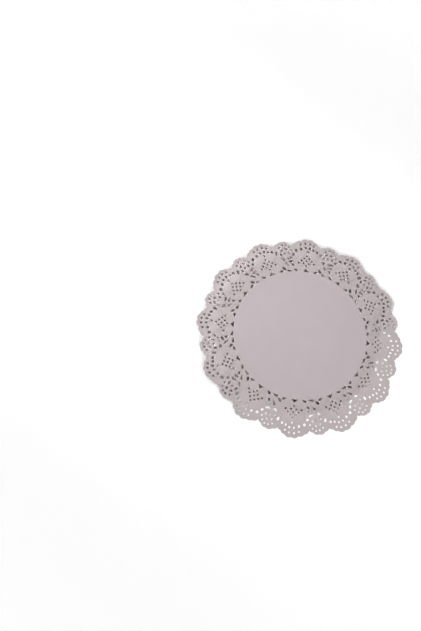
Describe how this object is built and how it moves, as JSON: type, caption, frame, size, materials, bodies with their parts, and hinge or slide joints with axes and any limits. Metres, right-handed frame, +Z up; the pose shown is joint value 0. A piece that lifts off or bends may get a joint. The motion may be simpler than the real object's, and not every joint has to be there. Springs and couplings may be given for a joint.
{
  "type": "paper doily",
  "caption": "Round flat paper doily with a plain middle, a cut lace border of hearts and rosettes, and a scalloped rim.",
  "frame": {"origin": "centre of the sheet, on the surface that it lies on", "axes": "+Z up out of the sheet, right side up; a heart of the border lies on each of the +X, -X, +Y and -Y axes"},
  "size_m": [0.2666, 0.2666, 0.001],
  "materials": {
    "paper": "dull uncoated, embossed"
  },
  "bodies": {
    "root": {"doily": "paper"}
  },
  "joints": []
}
